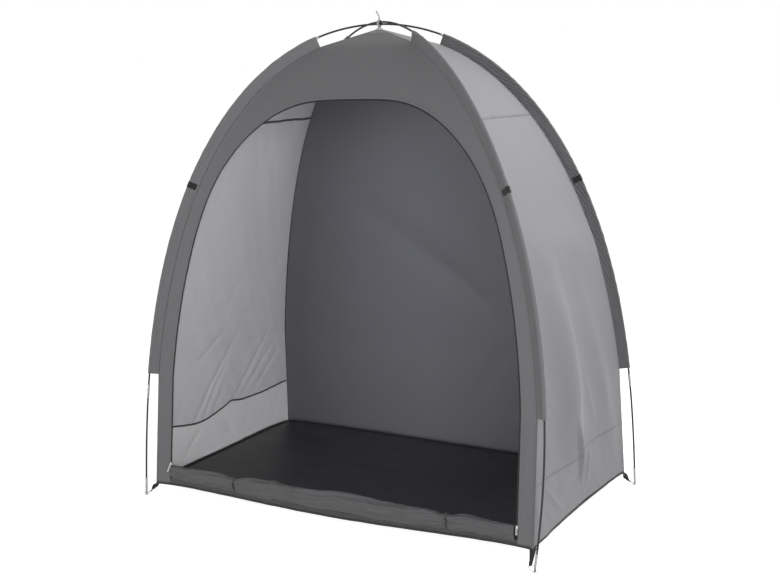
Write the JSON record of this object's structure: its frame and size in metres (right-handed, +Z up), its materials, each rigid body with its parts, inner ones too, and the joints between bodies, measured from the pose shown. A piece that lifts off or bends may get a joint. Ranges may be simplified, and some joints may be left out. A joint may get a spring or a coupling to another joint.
{
  "type": "bike shelter",
  "caption": "Free-standing fabric dome on crossed bent poles, with an arched doorway, its rolled-down door and a tub floor.",
  "frame": {"origin": "middle of the cloth's footprint on the ground, on the underside of the groundsheet, below the crossing of the poles", "axes": "+Z up, +X along the front, to the right as seen from outside the doorway, +Y from the doorway to the back wall"},
  "size_m": [1.9396, 1.0921, 2.1041],
  "materials": {
    "pole": "satin glass fibre rod",
    "ferrule": "drawn tube",
    "wire": "plated wire",
    "sleeve_cloth": "coated polyester",
    "webbing": "woven webbing",
    "front_cloth": "coated polyester",
    "back_cloth": "coated polyester",
    "side_cloth": "coated polyester",
    "binding": "bias tape",
    "groundsheet": "woven polyethylene",
    "zip": "coil zip",
    "zip_pull": "satin",
    "loop_tape": "cotton tape"
  },
  "bodies": {
    "root": {"pole_crown_a": "pole", "pole_crown_b": "pole", "front_left_pole": "pole", "front_right_pole": "pole", "back_right_pole": "pole", "back_left_pole": "pole", "front_left_ferrules": "ferrule", "front_right_ferrules": "ferrule", "back_right_ferrules": "ferrule", "back_left_ferrules": "ferrule", "front_left_ring": "wire", "front_right_ring": "wire", "back_right_ring": "wire", "back_left_ring": "wire", "front_left_pin": "wire", "front_right_pin": "wire", "back_right_pin": "wire", "back_left_pin": "wire", "front_left_sleeve": "sleeve_cloth", "front_right_sleeve": "sleeve_cloth", "back_right_sleeve": "sleeve_cloth", "back_left_sleeve": "sleeve_cloth", "corner_straps": "webbing", "sleeve_tabs": "webbing", "door_ties": "webbing", "front_left_panel": "front_cloth", "front_right_panel": "front_cloth", "front_top_panel": "front_cloth", "front_sill": "front_cloth", "door_roll": "front_cloth", "back_lower_panel": "back_cloth", "back_upper_panel": "back_cloth", "right_lower_panel": "side_cloth", "right_middle_panel": "side_cloth", "right_top_panel": "side_cloth", "left_lower_panel": "side_cloth", "left_middle_panel": "side_cloth", "left_top_panel": "side_cloth", "side_seam_tapes": "binding", "hem_binding": "binding", "groundsheet": "groundsheet", "groundsheet_rim": "groundsheet", "door_zip": "zip", "zip_pulls": "zip_pull", "peak_loop": "loop_tape"}
  },
  "joints": []
}
